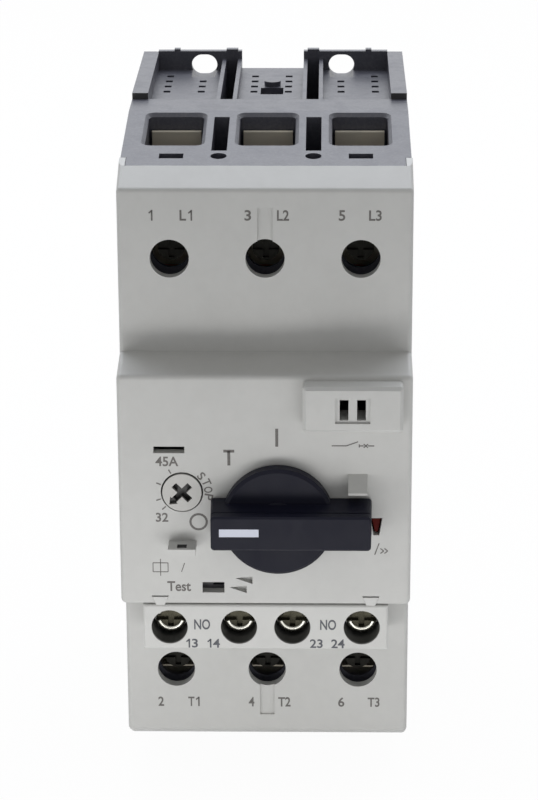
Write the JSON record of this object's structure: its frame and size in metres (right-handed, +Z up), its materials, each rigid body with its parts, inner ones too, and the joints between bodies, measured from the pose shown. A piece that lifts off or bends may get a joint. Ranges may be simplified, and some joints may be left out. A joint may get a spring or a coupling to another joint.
{
  "type": "motor protection circuit breaker",
  "caption": "Motor protection circuit breaker with a rotary handle, setting dial, box-clamp terminals, plug-in auxiliary contact block and sprung rail latch.",
  "frame": {"origin": "on the mid-plane, on the rear mounting plane, at the height of the rail's centre line", "axes": "+X right as seen from the front, +Y to the rear (the front faces -Y), +Z up, line side on top"},
  "size_m": [0.054, 0.1008, 0.1254],
  "materials": {
    "cover_light": "fine matt moulding",
    "aux_light": "fine matt moulding",
    "housing_dark": "fine matt moulding",
    "handle_black": "satin moulding",
    "marker_white": "smooth inlay",
    "dial_grey": "satin moulding",
    "flag_red": "satin moulding",
    "inner_plastic": "plain moulding",
    "latch_plastic": "plain moulding",
    "fibre": "pressed fibre board",
    "mechanism_steel": "punched sheet",
    "spring_steel": "drawn wire",
    "screw_steel": "dark passivated",
    "zinc_steel": "zinc plated and passivated",
    "copper": "bare copper strip",
    "bimetal": "rolled strip"
  },
  "bodies": {
    "housing": {"mounting_base": "housing_dark", "pole_housing": "housing_dark", "front_cover": "cover_light", "accessory_cover": "cover_light", "aux_block_case": "aux_light", "aux_screws": "screw_steel", "aux_clamp_plates": "zinc_steel", "coil_yokes": "mechanism_steel", "arc_chute_cheeks": "fibre", "mechanism_plate": "mechanism_steel", "housing_screws": "zinc_steel", "latch_spring": "spring_steel", "line_busbar_left": "copper", "line_busbar_centre": "copper", "line_busbar_right": "copper", "load_busbar_left": "copper", "load_busbar_centre": "copper", "load_busbar_right": "copper", "trip_coil_left": "copper", "trip_coil_centre": "copper", "trip_coil_right": "copper", "bimetal_left": "bimetal", "bimetal_centre": "bimetal", "bimetal_right": "bimetal", "arc_plates_left": "mechanism_steel", "arc_plates_centre": "mechanism_steel", "arc_plates_right": "mechanism_steel"},
    "handle": {"handle_knob": "handle_black", "handle_marker": "marker_white", "handle_shaft": "mechanism_steel", "main_spring": "spring_steel"},
    "carrier": {"contact_carrier": "inner_plastic", "contact_springs": "spring_steel", "contact_bridge_left": "copper", "contact_bridge_centre": "copper", "contact_bridge_right": "copper"},
    "aux_contact": {"aux_slide": "inner_plastic", "aux_bridges": "copper"},
    "dial": {"setting_dial": "dial_grey"},
    "test": {"test_slide": "inner_plastic"},
    "trip": {"trip_bar": "inner_plastic"},
    "lever": {"latch_lever": "mechanism_steel"},
    "flag": {"trip_flag": "flag_red"},
    "rail_hook": {"rail_latch": "latch_plastic"},
    "line_screw_left_body": {"line_screw_left": "screw_steel"},
    "line_cage_left_body": {"line_cage_left": "zinc_steel"},
    "line_screw_centre_body": {"line_screw_centre": "screw_steel"},
    "line_cage_centre_body": {"line_cage_centre": "zinc_steel"},
    "line_screw_right_body": {"line_screw_right": "screw_steel"},
    "line_cage_right_body": {"line_cage_right": "zinc_steel"},
    "load_screw_left_body": {"load_screw_left": "screw_steel"},
    "load_cage_left_body": {"load_cage_left": "zinc_steel"},
    "load_screw_centre_body": {"load_screw_centre": "screw_steel"},
    "load_cage_centre_body": {"load_cage_centre": "zinc_steel"},
    "load_screw_right_body": {"load_screw_right": "screw_steel"},
    "load_cage_right_body": {"load_cage_right": "zinc_steel"},
    "plunger_left": {"trip_plunger_left": "mechanism_steel"},
    "plunger_centre": {"trip_plunger_centre": "mechanism_steel"},
    "plunger_right": {"trip_plunger_right": "mechanism_steel"}
  },
  "joints": [
    {"name": "handle_turn", "type": "hinge", "parent": "housing", "child": "handle", "pos_m": [0.0024, -0.092, -0.00537], "axis": [0, 1, 0], "range_deg": [0, 90]},
    {"name": "carrier_slide", "type": "slide", "parent": "housing", "child": "carrier", "axis": [0, 0, 1], "range_m": [0, 0.00495]},
    {"name": "aux_contact_slide", "type": "slide", "parent": "housing", "child": "aux_contact", "axis": [-1, 0, 0], "range_m": [0, 0.00736]},
    {"name": "dial_turn", "type": "hinge", "parent": "housing", "child": "dial", "pos_m": [-0.0153, -0.092, -0.0006], "axis": [0, 1, 0], "range_deg": [0, 102]},
    {"name": "test_push", "type": "slide", "parent": "housing", "child": "test", "axis": [-1, 0, 0], "range_m": [0, 0.0025], "stiffness_N_per_m": 200, "springref_m": -0.0005},
    {"name": "trip_shift", "type": "slide", "parent": "housing", "child": "trip", "axis": [-1, 0, 0], "range_m": [0, 0.0025]},
    {"name": "lever_turn", "type": "hinge", "parent": "housing", "child": "lever", "pos_m": [-0.0126, -0.0694, 0.005], "axis": [0, 1, 0], "range_deg": [0, 6.9]},
    {"name": "flag_shift", "type": "slide", "parent": "housing", "child": "flag", "axis": [0, -1, 0], "range_m": [0, 0.0008]},
    {"name": "rail_latch_slide", "type": "slide", "parent": "housing", "child": "rail_hook", "axis": [0, 0, -1], "range_m": [0, 0.004], "stiffness_N_per_m": 500, "springref_m": -0.004, "deforming": ["latch_spring"]},
    {"name": "line_screw_left_turn", "type": "hinge", "parent": "housing", "child": "line_screw_left_body", "pos_m": [-0.0175, -0.07, 0.0414], "axis": [0, 1, 0], "range_deg": [0, 3600]},
    {"name": "line_cage_left_slide", "type": "slide", "parent": "housing", "child": "line_cage_left_body", "axis": [0, -1, 0], "range_m": [0, 0.008]},
    {"name": "line_screw_centre_turn", "type": "hinge", "parent": "housing", "child": "line_screw_centre_body", "pos_m": [0, -0.07, 0.0414], "axis": [0, 1, 0], "range_deg": [0, 3600]},
    {"name": "line_cage_centre_slide", "type": "slide", "parent": "housing", "child": "line_cage_centre_body", "axis": [0, -1, 0], "range_m": [0, 0.008]},
    {"name": "line_screw_right_turn", "type": "hinge", "parent": "housing", "child": "line_screw_right_body", "pos_m": [0.0175, -0.07, 0.0414], "axis": [0, 1, 0], "range_deg": [0, 3600]},
    {"name": "line_cage_right_slide", "type": "slide", "parent": "housing", "child": "line_cage_right_body", "axis": [0, -1, 0], "range_m": [0, 0.008]},
    {"name": "load_screw_left_turn", "type": "hinge", "parent": "housing", "child": "load_screw_left_body", "pos_m": [-0.0175, -0.07, -0.0414], "axis": [0, 1, 0], "range_deg": [0, 3600]},
    {"name": "load_cage_left_slide", "type": "slide", "parent": "housing", "child": "load_cage_left_body", "axis": [0, -1, 0], "range_m": [0, 0.008]},
    {"name": "load_screw_centre_turn", "type": "hinge", "parent": "housing", "child": "load_screw_centre_body", "pos_m": [0, -0.07, -0.0414], "axis": [0, 1, 0], "range_deg": [0, 3600]},
    {"name": "load_cage_centre_slide", "type": "slide", "parent": "housing", "child": "load_cage_centre_body", "axis": [0, -1, 0], "range_m": [0, 0.008]},
    {"name": "load_screw_right_turn", "type": "hinge", "parent": "housing", "child": "load_screw_right_body", "pos_m": [0.0175, -0.07, -0.0414], "axis": [0, 1, 0], "range_deg": [0, 3600]},
    {"name": "load_cage_right_slide", "type": "slide", "parent": "housing", "child": "load_cage_right_body", "axis": [0, -1, 0], "range_m": [0, 0.008]},
    {"name": "plunger_left_pull", "type": "slide", "parent": "housing", "child": "plunger_left", "axis": [0, 0, -1], "range_m": [0, 0.002], "stiffness_N_per_m": 150, "springref_m": -0.001},
    {"name": "plunger_centre_pull", "type": "slide", "parent": "housing", "child": "plunger_centre", "axis": [0, 0, -1], "range_m": [0, 0.002], "stiffness_N_per_m": 150, "springref_m": -0.001},
    {"name": "plunger_right_pull", "type": "slide", "parent": "housing", "child": "plunger_right", "axis": [0, 0, -1], "range_m": [0, 0.002], "stiffness_N_per_m": 150, "springref_m": -0.001}
  ],
  "couplings": [
    {"joint": "handle_turn", "follows": "carrier_slide", "rad_per_m": 317.35},
    {"joint": "aux_contact_slide", "follows": "carrier_slide", "ratio": 1.4857},
    {"joint": "trip_shift", "follows": "test_push", "ratio": 1},
    {"joint": "lever_turn", "follows": "test_push", "rad_per_m": 47.619},
    {"joint": "line_screw_left_turn", "follows": "line_cage_left_slide", "rad_per_m": 7854},
    {"joint": "line_screw_centre_turn", "follows": "line_cage_centre_slide", "rad_per_m": 7854},
    {"joint": "line_screw_right_turn", "follows": "line_cage_right_slide", "rad_per_m": 7854},
    {"joint": "load_screw_left_turn", "follows": "load_cage_left_slide", "rad_per_m": 7854},
    {"joint": "load_screw_centre_turn", "follows": "load_cage_centre_slide", "rad_per_m": 7854},
    {"joint": "load_screw_right_turn", "follows": "load_cage_right_slide", "rad_per_m": 7854}
  ]
}
